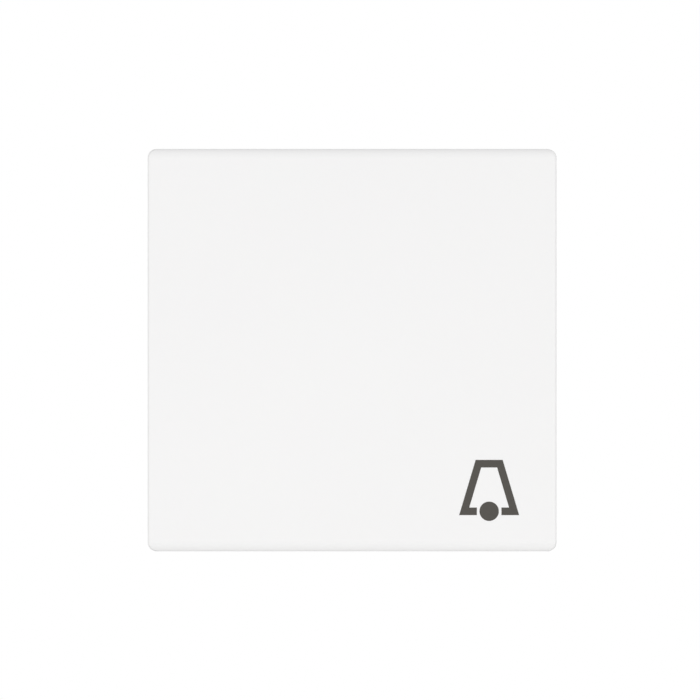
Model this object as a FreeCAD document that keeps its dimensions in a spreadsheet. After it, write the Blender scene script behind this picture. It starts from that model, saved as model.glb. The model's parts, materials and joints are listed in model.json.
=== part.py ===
import FreeCAD, Part
import math
import os
from collections import namedtuple

import Sketcher

# A large-format rocker bell push with its insert for a 60 mm flush wall box.
# Millimetres. X runs to the right and Z up as the wall is seen, and the front faces -Y.
# The origin is the middle of the support ring's back, in the plane of the wall.
# A depth written "front" is a distance in front of the wall, and one behind it is negative.

doc = FreeCAD.newDocument("rocker_bell_push")
sheet = doc.addObject("Spreadsheet::Sheet", "sizes")


class Size:
    """A length or a number, together with the sheet formula that gives it."""

    def __init__(self, value, formula=None):
        self.value = float(value)
        self.formula = formula or repr(self.value)

    def __float__(self):
        return self.value

    def __neg__(self):
        return Size(-self.value, f"(0 - {self.formula})")

    def __add__(self, other):
        other = as_size(other)
        return Size(self.value + other.value, f"({self.formula} + {other.formula})")

    def __sub__(self, other):
        other = as_size(other)
        return Size(self.value - other.value, f"({self.formula} - {other.formula})")

    def __mul__(self, other):
        other = as_size(other)
        return Size(self.value * other.value, f"({self.formula} * {other.formula})")

    def __truediv__(self, other):
        other = as_size(other)
        return Size(self.value / other.value, f"({self.formula} / {other.formula})")

    __radd__ = __add__
    __rmul__ = __mul__

    def __rsub__(self, other):
        return as_size(other) - self


def as_size(number):
    """Plain numbers join in the sheet's formulas as they are."""
    if isinstance(number, Size):
        return number
    if number < 0:
        return Size(number, f"(0 - {abs(float(number))!r})")
    return Size(number)


def size(name, value):
    """Write a driving size into the sheet and give it back."""
    size.row += 1
    sheet.set(f"A{size.row}", name)
    sheet.set(f"B{size.row}", str(value))
    sheet.setAlias(f"B{size.row}", name)
    return Size(value, f"sizes.{name}")


size.row = 0


def sine(angle):
    return Size(math.sin(math.radians(angle.value)), f"sin({angle.formula})")


def cosine(angle):
    return Size(math.cos(math.radians(angle.value)), f"cos({angle.formula})")


# Rocker plate
plate_width = size("plate_width", 70.5)
plate_height = size("plate_height", 69.4)
plate_front = size("plate_front", 11.2)
plate_wall = size("plate_wall", 1.8)
skirt_back = size("skirt_back", 4.4)
corner_radius = size("corner_radius", 1.55)
edge_reach = size("edge_reach", 1.7)
edge_drop = size("edge_drop", 0.7)
edge_round = size("edge_round", 0.4)
rib_thick = size("rib_thick", 1.0)
rib_depth = size("rib_depth", 2.0)
rib_across = size("rib_across", 19.0)
rib_up = size("rib_up", 16.0)
bearing_rib_across = size("bearing_rib_across", 5.5)

# Clip hooks of the plate and their windows in the tumbler
hook_inset = size("hook_inset", 4.0)
hook_up = size("hook_up", 7.0)
hook_width = size("hook_width", 4.0)
hook_thick = size("hook_thick", 1.2)
hook_nose = size("hook_nose", 0.7)
hook_play = size("hook_play", 0.3)
hook_seat_play = size("hook_seat_play", 0.05)

# Bell sign
sign_right = size("sign_right", 11.62)
sign_base = size("sign_base", 6.25)
sign_height = size("sign_height", 9.52)
sign_top_width = size("sign_top_width", 4.66)
sign_base_width = size("sign_base_width", 10.34)
sign_bar = size("sign_bar", 1.31)
sign_leg = size("sign_leg", 1.345)
sign_foot = size("sign_foot", 3.05)
sign_dot_radius = size("sign_dot_radius", 1.67)
sign_dot_rise = size("sign_dot_rise", 0.66)
sign_depth = size("sign_depth", 0.12)
sign_proud = size("sign_proud", 0.03)

# Tumbler
rocker_angle = size("rocker_angle", 4.0)
deck_front = size("deck_front", 8.6)
deck_thick = size("deck_thick", 1.8)
deck_width = size("deck_width", 28.4)
deck_height = size("deck_height", 24.0)
deck_corner = size("deck_corner", 1.6)
pivot_front = size("pivot_front", 5.2)
journal_radius = size("journal_radius", 2.0)
journal_play = size("journal_play", 0.05)
journal_end_play = size("journal_end_play", 0.2)
cheek_thick = size("cheek_thick", 1.6)
cheek_spread = size("cheek_spread", 5.0)
nose_width = size("nose_width", 4.0)
nose_radius = size("nose_radius", 1.2)
nose_rise = size("nose_rise", 0.8)

# Ears and cover
ear_play = size("ear_play", 0.5)
ear_thick = size("ear_thick", 2.0)
ear_margin = size("ear_margin", 0.2)
ear_half_height = size("ear_half_height", 3.6)
ear_rise = size("ear_rise", 2.0)
ear_top_half = size("ear_top_half", 2.8)
ear_shoulder = size("ear_shoulder", 1.0)
ear_mouth = size("ear_mouth", 3.5)
cover_thick = size("cover_thick", 1.8)
post_half = size("post_half", 1.4)
post_inset = size("post_inset", 5.0)
post_up = size("post_up", 10.0)
stop_play = size("stop_play", 0.05)
hold_down_play = size("hold_down_play", 0.1)
hold_down_rise = size("hold_down_rise", 0.3)
rim_thick = size("rim_thick", 1.2)
rim_depth = size("rim_depth", 1.5)
rim_play = size("rim_play", 0.1)

# Push pin and its guide
pin_down = size("pin_down", 9.5)
pin_radius = size("pin_radius", 2.0)
pin_play = size("pin_play", 0.06)
pin_touch = size("pin_touch", 0.1)
guide_wall = size("guide_wall", 1.3)
guide_depth = size("guide_depth", 1.4)

# Springs
spring_down = size("spring_down", 4.2)
spring_radius = size("spring_radius", 2.2)
spring_wire = size("spring_wire", 0.5)
spring_play = size("spring_play", 0.3)
pip_half = size("pip_half", 1.1)
well_depth = size("well_depth", 0.6)
return_turns = size("return_turns", 2)
contact_spring_down = size("contact_spring_down", 4.0)
contact_turns = size("contact_turns", 2.5)

# Contacts
lever_behind = size("lever_behind", 1.1)
lever_thick = size("lever_thick", 0.8)
lever_width = size("lever_width", 6.0)
lever_neck = size("lever_neck", 3.6)
lever_top = size("lever_top", 11.0)
fulcrum_up = size("fulcrum_up", 9.0)
contact_inset = size("contact_inset", 1.8)
contact_radius = size("contact_radius", 1.6)
contact_head = size("contact_head", 0.8)
contact_gap = size("contact_gap", 0.86)
strip_thick = size("strip_thick", 0.8)
strip_bend = size("strip_bend", 1.0)
strip_play = size("strip_play", 1.2)
strip_stop = size("strip_stop", 4.0)

# Socket
socket_wall = size("socket_wall", 1.6)
socket_depth = size("socket_depth", 24.0)
socket_back_wall = size("socket_back_wall", 2.0)
chamber_depth = size("chamber_depth", 10.0)
chamber_play = size("chamber_play", 0.3)
terminal_low = size("terminal_low", 6.5)
terminal_inset = size("terminal_inset", 6.3)
flange_across = size("flange_across", 19.5)
flange_rise = size("flange_rise", 6.1)
flange_thick = size("flange_thick", 2.4)
flange_corner = size("flange_corner", 4.5)
boss_half = size("boss_half", 2.4)
boss_sink = size("boss_sink", 0.1)
relief_floor = size("relief_floor", 1.8)
web_inset = size("web_inset", 3.2)
gusset_across = size("gusset_across", 5.0)
gusset_margin = size("gusset_margin", 1.0)
gusset_depth = size("gusset_depth", 11.0)

# Terminals
port_inset = size("port_inset", 3.9)
port_drop = size("port_drop", 3.3)
port_half = size("port_half", 1.6)
funnel_depth = size("funnel_depth", 0.7)
clamp_thick = size("clamp_thick", 0.4)
clamp_width = size("clamp_width", 4.6)
clamp_inner = size("clamp_inner", 2.2)
clamp_stop = size("clamp_stop", 4.4)
clamp_leg = size("clamp_leg", 6.0)
clamp_anchor = size("clamp_anchor", 11.5)
clamp_bend = size("clamp_bend", 1.2)
clamp_lean = size("clamp_lean", 0.52)
clamp_tip_play = size("clamp_tip_play", 0.1)
button_radius = size("button_radius", 1.5)
button_play = size("button_play", 0.08)
button_travel = size("button_travel", 1.2)
button_bar = size("button_bar", 0.8)
button_reach = size("button_reach", 5.2)
button_prong = size("button_prong", 1.2)
button_touch = size("button_touch", 0.1)
button_height = size("button_height", 3.0)

# Fasteners of the cover
cover_screw_radius = size("cover_screw_radius", 0.9)
cover_screw_length = size("cover_screw_length", 8.5)
cover_screw_head = size("cover_screw_head", 1.7)
cover_screw_head_thick = size("cover_screw_head_thick", 1.1)
cover_screw_slot = size("cover_screw_slot", 0.4)
cover_screw_slot_depth = size("cover_screw_slot_depth", 0.5)
cover_hole_play = size("cover_hole_play", 0.15)

# Support ring and rivets
ring_side = size("ring_side", 69.0)
ring_thick = size("ring_thick", 1.2)
ring_corner = size("ring_corner", 6.0)
ring_play = size("ring_play", 0.2)
box_spacing = size("box_spacing", 60.0)
box_slot_width = size("box_slot_width", 3.4)
box_slot_length = size("box_slot_length", 4.6)
rivet_rise = size("rivet_rise", 3.0)
rivet_radius = size("rivet_radius", 1.2)
rivet_head = size("rivet_head", 2.1)
rivet_head_thick = size("rivet_head_thick", 0.7)
rivet_tail = size("rivet_tail", 1.8)

# Claws
claw_pivot_across = size("claw_pivot_across", 21.9)
claw_pivot_behind = size("claw_pivot_behind", 2.0)
claw_pin_radius = size("claw_pin_radius", 0.8)
claw_pin_play = size("claw_pin_play", 0.06)
claw_pin_head = size("claw_pin_head", 1.1)
claw_pin_head_thick = size("claw_pin_head_thick", 0.4)
claw_knuckle = size("claw_knuckle", 1.5)
claw_sheet = size("claw_sheet", 1.0)
claw_half_width = size("claw_half_width", 5.9)
claw_window = size("claw_window", 3.3)
claw_tab_length = size("claw_tab_length", 6.0)
claw_reach = size("claw_reach", 20.0)
claw_tip = size("claw_tip", 2.4)
claw_bevel = size("claw_bevel", 0.4)
tooth_half = size("tooth_half", 0.6)
tooth_depth = size("tooth_depth", 1.2)
tooth_length = size("tooth_length", 1.0)
lug_thick = size("lug_thick", 1.0)
lug_play = size("lug_play", 0.2)
lug_margin = size("lug_margin", 1.1)
lug_half = size("lug_half", 1.775)
claw_screw_arm = size("claw_screw_arm", 3.2)
claw_screw_radius = size("claw_screw_radius", 1.5)
claw_screw_play = size("claw_screw_play", 0.2)
claw_screw_length = size("claw_screw_length", 12.0)
claw_screw_head = size("claw_screw_head", 2.5)
claw_screw_head_thick = size("claw_screw_head_thick", 2.0)
driver_slot = size("driver_slot", 0.8)
driver_slot_depth = size("driver_slot_depth", 1.0)
nut_radius = size("nut_radius", 2.0)
nut_half_width = size("nut_half_width", 2.9)
nut_thick = size("nut_thick", 2.0)
nut_play = size("nut_play", 0.05)
claw_slot_play = size("claw_slot_play", 0.7)

# How far a cut runs past the piece it cuts
overshoot = size("overshoot", 1.0)

# Places and depths that follow from the sizes above
hook_across = deck_width / 2 - hook_inset
plate_inside = plate_front - plate_wall
deck_back = deck_front - deck_thick
cover_back = ring_thick
cover_front = cover_back + cover_thick
ear_inner = deck_width / 2 + ear_play
ear_outer = ear_inner + ear_thick
lever_front = -lever_behind
lever_back = lever_front - lever_thick
chamber_back = -chamber_depth
floor_back = chamber_back - relief_floor
terminal_back = socket_back_wall - socket_depth
socket_half = ear_outer + ear_margin
hollow_half = socket_half - socket_wall
flange_up = socket_half + flange_rise
rivet_up = socket_half + rivet_rise
ring_hole = socket_half + ring_play
boss_place = hollow_half - boss_half + boss_sink
post_across = boss_place - post_inset
back_hollow_half = socket_half - web_inset
terminal_across = socket_half - terminal_inset
port_across = terminal_across - port_inset
port_up = hollow_half - port_drop
lever_bottom = hollow_half - chamber_play
contact_down = lever_bottom - contact_inset
strip_low = fulcrum_up
strip_high = hollow_half - chamber_play
strip_across = terminal_across - strip_play
strip_inner = strip_across - strip_thick
strip_end = socket_depth - strip_stop
clamp_back = socket_depth - clamp_stop
clamp_tip = clamp_back - clamp_leg

Disc = namedtuple("Disc", "across up radius")
PLANES = {"front": "XZ_Plane", "side": "YZ_Plane", "plan": "XY_Plane"}
ALONG_Y = FreeCAD.Vector(0, 1, 0)
ALONG_Z = FreeCAD.Vector(0, 0, 1)


def bind(feature, setting, value):
    feature.setExpression(setting, as_size(value).formula)


def new_body(name):
    body = doc.addObject("PartDesign::Body", name)
    body.Label = name
    return body


def on_sheet(view, first, second):
    """A point's place on its sketch plane: (x, z) from the front, (front, z) from the side, (x, front) in plan."""
    if view == "side":
        return -as_size(first), as_size(second)
    if view == "plan":
        return as_size(first), -as_size(second)
    return as_size(first), as_size(second)


def new_sketch(body, view, place, name, rise=0):
    """A sketch on one of the body's own planes, moved along the plane's normal, and up by rise."""
    sketch = body.newObject("Sketcher::SketchObject", name)
    plane = [item for item in body.Origin.OriginFeatures if item.Role == PLANES[view]][0]
    sketch.AttachmentSupport = [(plane, "")]
    sketch.MapMode = "FlatFace"
    bind(sketch, "AttachmentOffset.Base.z", place)
    bind(sketch, "AttachmentOffset.Base.y", rise)
    return sketch


def hold(sketch, kind, geometry, point, value):
    """A driving dimension from the sketch's origin, tied to the sheet."""
    index = sketch.addConstraint(Sketcher.Constraint(kind, -1, 1, geometry, point, float(value)))
    sketch.setExpression(f"Constraints[{index}]", value.formula)


def hold_radius(sketch, geometry, value):
    index = sketch.addConstraint(Sketcher.Constraint("Radius", geometry, float(value)))
    sketch.setExpression(f"Constraints[{index}]", as_size(value).formula)


def arc_through(start, end, radius, middle):
    """A short arc of the given radius from start to end that bulges away from the outline's middle."""
    chord = end - start
    outward = FreeCAD.Vector(chord.y, -chord.x, 0).normalize()
    if outward.dot((start + end) * 0.5 - middle) < 0:
        outward = -outward
    drop = math.sqrt(max(radius**2 - (chord.Length / 2) ** 2, 0))
    centre = (start + end) * 0.5 - outward * drop
    top = centre + outward * radius
    return Part.Arc(start, top, end), chord.cross(top - start).z < 0


def draw_outline(sketch, view, points):
    """A closed outline through the points. A third entry in a point is the radius of the arc to the next."""
    places = [on_sheet(view, point[0], point[1]) for point in points]
    spots = [FreeCAD.Vector(float(x), float(y), 0) for x, y in places]
    middle = FreeCAD.Vector()
    for spot in spots:
        middle += spot * (1 / len(spots))
    ends = []
    for index, point in enumerate(points):
        start = spots[index]
        end = spots[(index + 1) % len(spots)]
        if len(point) == 3:
            arc, anticlockwise = arc_through(start, end, float(point[2]), middle)
            edge = sketch.addGeometry(arc, False)
            hold_radius(sketch, edge, point[2])
            ends.append((edge, 1, 2) if anticlockwise else (edge, 2, 1))
        else:
            edge = sketch.addGeometry(Part.LineSegment(start, end), False)
            ends.append((edge, 1, 2))
    for index, (edge, first, last) in enumerate(ends):
        following = ends[(index + 1) % len(ends)]
        sketch.addConstraint(Sketcher.Constraint("Coincident", edge, last, following[0], following[1]))
        hold(sketch, "DistanceX", edge, first, places[index][0])
        hold(sketch, "DistanceY", edge, first, places[index][1])


def draw(sketch, view, loops):
    for loop in loops:
        if isinstance(loop, Disc):
            x, y = on_sheet(view, loop.across, loop.up)
            centre = FreeCAD.Vector(float(x), float(y), 0)
            edge = sketch.addGeometry(Part.Circle(centre, FreeCAD.Vector(0, 0, 1), float(loop.radius)), False)
            hold(sketch, "DistanceX", edge, 3, x)
            hold(sketch, "DistanceY", edge, 3, y)
            hold_radius(sketch, edge, loop.radius)
        else:
            draw_outline(sketch, view, loop)


def rectangle(left, right, low, high):
    return [(left, low), (right, low), (right, high), (left, high)]


def centred(half_across, half_up):
    return rectangle(-half_across, half_across, -half_up, half_up)


def chamfered(half_across, half_up, corner):
    """A rectangle about the middle with its four corners cut off."""
    across = half_across - corner
    up = half_up - corner
    return [
        (-across, -half_up),
        (across, -half_up),
        (half_across, -up),
        (half_across, up),
        (across, half_up),
        (-across, half_up),
        (-half_across, up),
        (-half_across, -up),
    ]


def in_order(start, end):
    return sorted((as_size(start), as_size(end)), key=float)


def pad(body, view, start, end, loops, name):
    """Material between two depths, along the normal of the view's plane."""
    near, far = in_order(start, end)
    sketch = new_sketch(body, view, near, f"{name}_outline")
    draw(sketch, view, loops)
    feature = body.newObject("PartDesign::Pad", name)
    feature.Profile = sketch
    bind(feature, "Length", far - near)
    return feature


def pocket(body, view, start, end, loops, name):
    """A cut between two depths, along the normal of the view's plane."""
    near, far = in_order(start, end)
    sketch = new_sketch(body, view, far, f"{name}_outline")
    draw(sketch, view, loops)
    feature = body.newObject("PartDesign::Pocket", name)
    feature.Profile = sketch
    bind(feature, "Length", far - near)
    return feature


def turned(body, across, up, outline, name):
    """A turned piece on an axis that runs front to back, from an outline of (front, radius) points."""
    sketch = new_sketch(body, "side", across, f"{name}_outline", rise=up)
    draw(sketch, "side", [outline])
    feature = body.newObject("PartDesign::Revolution", name)
    feature.Profile = sketch
    feature.ReferenceAxis = (sketch, ["H_Axis"])
    feature.Angle = 360
    return feature


def edges_where(body, accepts):
    doc.recompute()
    edges = body.Tip.Shape.Edges
    return [f"Edge{number}" for number, edge in enumerate(edges, 1) if accepts(edge)]


def rounded(body, radius, accepts, name):
    names = edges_where(body, accepts)
    base = body.Tip
    feature = body.newObject("PartDesign::Fillet", name)
    feature.Base = (base, names)
    bind(feature, "Radius", radius)
    return feature


def bevelled(body, cut, accepts, name):
    names = edges_where(body, accepts)
    base = body.Tip
    feature = body.newObject("PartDesign::Chamfer", name)
    feature.Base = (base, names)
    bind(feature, "Size", cut)
    return feature


def runs(edge, axis):
    """True for a straight edge that runs along the axis."""
    if edge.Curve.TypeId != "Part::GeomLine":
        return False
    return abs(edge.tangentAt(edge.FirstParameter).dot(axis)) > 0.999


def near(value, target):
    return abs(value - float(target)) < 1e-4


def four_places(across, up):
    return [(across, up), (-across, up), (-across, -up), (across, -up)]


def about(across, up, half_across, half_up):
    return rectangle(across - half_across, across + half_across, up - half_up, up + half_up)


def slot_along_x(across, half_run, radius):
    """A slot on the X axis with round ends. The radius is repeated for each quarter of an end."""
    left = across - half_run
    right = across + half_run
    return [
        (left, -radius),
        (right, -radius, radius),
        (right + radius, 0, radius),
        (right, radius),
        (left, radius, radius),
        (left - radius, 0, radius),
    ]


def turned_upright(outline):
    """The same outline with its two directions changed over."""
    return [(point[1], point[0], *point[2:]) for point in outline]


def plate_slab(body):
    """The plate's outer form: its side profile has rolled top and bottom ends, and its corners are rounded."""
    half = plate_height / 2
    shoulder = plate_front - edge_drop
    flat = half - edge_reach
    roll = (edge_reach * edge_reach + edge_drop * edge_drop) / (2 * edge_drop)
    profile = [
        (skirt_back, -half),
        (shoulder, -half, roll),
        (plate_front, -flat),
        (plate_front, flat, roll),
        (shoulder, half),
        (skirt_back, half),
    ]
    pad(body, "side", -plate_width / 2, plate_width / 2, [profile], "slab")
    rounded(body, corner_radius, lambda edge: runs(edge, ALONG_Y), "corners")
    limit = -float(shoulder) + 1e-4

    def on_front_rim(edge):
        if edge.BoundBox.YMax > limit:
            return False
        upright = 0
        for face in body.Tip.Shape.ancestorsOfType(edge, Part.Face):
            middle = edge.valueAt((edge.FirstParameter + edge.LastParameter) / 2)
            across, along = face.Surface.parameter(middle)
            upright += abs(face.normalAt(across, along).y) < 1e-6
        return upright == 1

    rounded(body, edge_round, on_front_rim, "rim")


def plate_ribs(body):
    inner_across = plate_width / 2 - plate_wall
    inner_up = plate_height / 2 - plate_wall
    back = plate_inside - rib_depth
    for side in (1, -1):
        low = rib_up * side - rib_thick / 2
        level = rectangle(-inner_across, inner_across, low, low + rib_thick)
        pad(body, "front", back, plate_inside, [level], "level_rib")
        left = rib_across * side - rib_thick / 2
        upright = rectangle(left, left + rib_thick, -inner_up, inner_up)
        pad(body, "front", back, plate_inside, [upright], "upright_rib")
        left = bearing_rib_across * side - rib_thick / 2
        bearing = rectangle(left, left + rib_thick, -rib_up, rib_up)
        pad(body, "front", deck_front, plate_inside, [bearing], "bearing_rib")


def plate_hooks(body):
    """Two hooks above and two below the middle, each with a nose that catches behind the tumbler's deck."""
    tip = deck_back - hook_play - hook_nose - hook_play
    catch = deck_back - hook_seat_play
    for side in (1, -1):
        foot = (hook_up - hook_thick / 2) * side
        top = (hook_up + hook_thick / 2) * side
        nose = (hook_up + hook_thick / 2 + hook_nose) * side
        profile = [
            (plate_inside, foot),
            (tip, foot),
            (tip, top),
            (catch - hook_nose / 2, nose),
            (catch, nose),
            (catch, top),
            (plate_inside, top),
        ]
        for place in (hook_across, -hook_across):
            pad(body, "side", place - hook_width / 2, place + hook_width / 2, [profile], "hook")


def sign_outlines():
    """The bell: a tapering arch with two feet, and a round clapper between them."""
    middle = plate_width / 2 - sign_right
    base = sign_base - plate_height / 2
    lean = (sign_base_width - sign_top_width) / 2 / sign_height
    half_base = sign_base_width / 2
    half_top = sign_top_width / 2
    foot_inner = half_base - sign_foot
    leg_at_foot = half_base - lean * sign_bar - sign_leg
    leg_at_top = half_base - lean * (sign_height - sign_bar) - sign_leg
    right = [
        (foot_inner, 0),
        (half_base, 0),
        (half_top, sign_height),
    ]
    inside = [
        (leg_at_top, sign_height - sign_bar),
        (leg_at_foot, sign_bar),
        (foot_inner, sign_bar),
    ]
    left = [(-across, up) for across, up in reversed(right)]
    inside_left = [(-across, up) for across, up in reversed(inside)]
    ring = right + left + inside_left + inside
    arch = [(middle + across, base + up) for across, up in ring]
    return [arch, Disc(middle, base + sign_dot_rise, sign_dot_radius)]


def rocker_plate():
    body = new_body("rocker_plate")
    plate_slab(body)
    inner_across = plate_width / 2 - plate_wall
    inner_up = plate_height / 2 - plate_wall
    pocket(body, "front", skirt_back, plate_inside, [centred(inner_across, inner_up)], "hollow")
    plate_ribs(body)
    plate_hooks(body)
    pocket(body, "front", plate_front - sign_depth, plate_front, sign_outlines(), "sign_recess")
    return body


def bell_sign():
    body = new_body("bell_sign")
    pad(body, "front", plate_front - sign_depth, plate_front + sign_proud, sign_outlines(), "inlay")
    return body


def tumbler():
    """The carrier that clips under the plate, with its two journals and the nose that presses the pin."""
    body = new_body("tumbler")
    half_across = deck_width / 2
    half_up = deck_height / 2
    pad(body, "front", deck_back, deck_front, [chamfered(half_across, half_up, deck_corner)], "deck")
    cheek = [
        (deck_back, -cheek_spread),
        (pivot_front, -journal_radius, journal_radius),
        (pivot_front - journal_radius, 0, journal_radius),
        (pivot_front, journal_radius),
        (deck_back, cheek_spread),
    ]
    for side in (1, -1):
        inner = (half_across - cheek_thick) * side
        pad(body, "side", inner, half_across * side, [cheek], "cheek")
        end = (ear_outer - journal_end_play) * side
        pad(body, "side", half_across * side, end, [Disc(pivot_front, 0, journal_radius)], "journal")
    centre = nose_tip() + nose_radius
    nose = [
        (deck_back, -pin_down - nose_radius),
        (centre, -pin_down - nose_radius, nose_radius),
        (nose_tip(), -pin_down, nose_radius),
        (centre, nose_radius - pin_down),
        (deck_back, nose_radius - pin_down),
    ]
    pad(body, "side", -nose_width / 2, nose_width / 2, [nose], "nose")
    pip = about(0, -spring_down, pip_half, pip_half)
    pad(body, "front", deck_back - well_depth, deck_back, [pip], "spring_pip")
    windows = []
    for across, up in four_places(hook_across, hook_up):
        side = 1 if float(up) > 0 else -1
        low = up - (hook_thick / 2 + hook_play) * side
        high = up + (hook_thick / 2 + hook_nose + hook_play) * side
        left = across - hook_width / 2 - hook_play
        right = across + hook_width / 2 + hook_play
        first, last = in_order(low, high)
        windows.append(rectangle(left, right, first, last))
    pocket(body, "front", deck_back, deck_front, windows, "hook_windows")
    return body


def nose_tip():
    return cover_front + nose_rise


def ear_outline():
    half = ear_half_height
    top = pivot_front + ear_rise
    return [
        (cover_front, -half),
        (top - ear_shoulder, -half),
        (top, -ear_top_half),
        (top, ear_top_half),
        (top - ear_shoulder, half),
        (cover_front, half),
    ]


def cover_screw_places():
    """Two opposite corners."""
    return [(boss_place, boss_place), (-boss_place, -boss_place)]


def socket_cover():
    """The moulded cover with bearing ears, stops for the rocker, the pin's guide and a rim that centres it."""
    body = new_body("socket_cover")
    pad(body, "front", cover_back, cover_front, [chamfered(socket_half, socket_half, socket_wall)], "plate")
    for side in (1, -1):
        pad(body, "side", ear_inner * side, ear_outer * side, [ear_outline()], "ear")
    upper_stop = deck_back - stop_play
    slope = sine(rocker_angle) / cosine(rocker_angle)
    lower_stop = upper_stop - (post_up + post_half) * slope
    for side in (1, -1):
        upper_post = about(post_across * side, post_up, post_half, post_half)
        lower_post = about(post_across * side, -post_up, post_half, post_half)
        pad(body, "front", cover_front, upper_stop, [upper_post], "upper_stop")
        pad(body, "front", cover_front, lower_stop, [lower_post], "lower_stop")
    guide = about(0, -pin_down, pin_radius + guide_wall, pin_radius + guide_wall)
    pad(body, "front", cover_back - guide_depth, cover_back, [guide], "guide")
    outer = hollow_half - rim_play
    inner = outer - rim_thick
    reach = boss_place - boss_half - rim_thick
    rims = [
        rectangle(-reach, reach, inner, outer),
        rectangle(-reach, reach, -outer, -inner),
        rectangle(inner, outer, -reach, reach),
        rectangle(-outer, -inner, -reach, reach),
    ]
    pad(body, "front", cover_back - rim_depth, cover_back, rims, "rim")
    low = fulcrum_up + hold_down_rise
    hold_down = rectangle(-lever_width / 2, lever_width / 2, low, low + rim_thick)
    pad(body, "front", lever_front + hold_down_play, cover_back, [hold_down], "hold_down")
    bearing = journal_radius + journal_play
    mouth = rectangle(pivot_front, pivot_front + ear_rise, -ear_mouth / 2, ear_mouth / 2)
    for side in (1, -1):
        inner_face = ear_inner * side
        outer_face = ear_outer * side
        pocket(body, "side", inner_face, outer_face, [Disc(pivot_front, 0, bearing)], "bearing")
        pocket(body, "side", inner_face, outer_face, [mouth], "mouth")
    guide_bore = Disc(0, -pin_down, pin_radius + pin_play)
    pocket(body, "front", cover_back - guide_depth, cover_front, [guide_bore], "guide_bore")
    well = Disc(0, -spring_down, spring_radius + spring_wire / 2 + spring_play)
    pocket(body, "front", cover_front - well_depth, cover_front, [well], "spring_well")
    holes = [Disc(across, up, cover_screw_radius + cover_hole_play) for across, up in cover_screw_places()]
    pocket(body, "front", cover_back, cover_front, holes, "screw_holes")
    return body


def push_pin():
    body = new_body("push_pin")
    pin = Disc(0, -pin_down, pin_radius)
    pad(body, "front", lever_front + pin_touch, nose_tip() - pin_touch, [pin], "pin")
    return body


def coil_spring(name, back, front, up, turns):
    """A helical spring of square wire on a front-to-back axis."""
    body = new_body(name)
    sketch = new_sketch(body, "side", 0, f"{name}_wire", rise=up)
    half = spring_wire / 2
    wire = rectangle(front - spring_wire, front, spring_radius - half, spring_radius + half)
    draw(sketch, "side", [wire])
    coil = body.newObject("PartDesign::AdditiveHelix", "coil")
    coil.Profile = sketch
    coil.ReferenceAxis = (sketch, ["H_Axis"])
    coil.Mode = 0
    height = front - back - spring_wire
    bind(coil, "Height", height)
    bind(coil, "Pitch", height / turns)
    return body


def return_spring():
    return coil_spring("return_spring", cover_front - well_depth, deck_back, -spring_down, return_turns)


def contact_spring():
    return coil_spring("contact_spring", chamber_back, lever_back, -contact_spring_down, contact_turns)


def contact_lever():
    """The sprung lever that rocks on the common strip's edge. Its moving contact is brazed to the low end."""
    body = new_body("contact_lever")
    half = lever_width / 2
    neck = lever_neck / 2
    outline = [
        (-half, lever_top),
        (-half, -pin_down + pin_radius),
        (-neck, -contact_down + contact_radius),
        (-neck, -lever_bottom),
        (neck, -lever_bottom),
        (neck, -contact_down + contact_radius),
        (half, -pin_down + pin_radius),
        (half, lever_top),
    ]
    pad(body, "front", lever_back, lever_front, [outline], "strip")
    return body


def moving_contact():
    body = new_body("moving_contact")
    disc = Disc(0, -contact_down, contact_radius)
    pad(body, "front", lever_back - contact_head, lever_back, [disc], "disc")
    return body


def fixed_contact_face():
    return lever_back - contact_head - contact_gap


def fixed_contact():
    body = new_body("fixed_contact")
    disc = Disc(0, -contact_down, contact_radius)
    pad(body, "front", fixed_contact_face() - contact_head, fixed_contact_face(), [disc], "disc")
    return body


def terminal_strip(name, bridge_front, low, high):
    """A strip folded to a U. Its bridge carries the contact and its legs run back into two terminals."""
    body = new_body(name)
    back = -strip_end
    channel = [
        (-strip_across, back),
        (-strip_inner, back),
        (-strip_inner, bridge_front - strip_thick),
        (strip_inner, bridge_front - strip_thick),
        (strip_inner, back),
        (strip_across, back),
        (strip_across, bridge_front),
        (-strip_across, bridge_front),
    ]
    pad(body, "plan", low, high, [channel], "channel")

    def outer_bend(edge):
        return runs(edge, ALONG_Z) and near(edge.BoundBox.YMin, -bridge_front)

    rounded(body, strip_bend, outer_bend, "outer_bends")
    return body


def common_strip():
    return terminal_strip("common_strip", lever_back, strip_low, strip_high)


def output_strip():
    return terminal_strip("output_strip", fixed_contact_face() - contact_head, -strip_high, -strip_low)


def clamp_free_end():
    """How far out the free leg's tip stands, just clear of the strip it would press on."""
    return strip_inner - clamp_tip_play


def clamp_spring(name, side, level):
    """A bent leaf. Its fixed leg stands by the middle, and its free leg leans on the strip against the wire."""
    body = new_body(name)
    inner = clamp_inner * side
    outer = (clamp_inner + clamp_thick) * side
    bend = (clamp_inner + clamp_bend) * side
    tip = clamp_free_end() * side
    leaf = [
        (inner, -clamp_anchor),
        (inner, clamp_thick - clamp_back),
        (inner + clamp_thick * side, -clamp_back),
        (bend, -clamp_back),
        (tip, -clamp_tip),
        (tip, clamp_lean - clamp_tip),
        (bend - clamp_thick / 2 * side, clamp_thick - clamp_back),
        (outer, clamp_thick - clamp_back),
        (outer, -clamp_anchor),
    ]
    middle = port_up * level
    pad(body, "plan", middle - clamp_width / 2, middle + clamp_width / 2, [leaf], "leaf")
    return body


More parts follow.
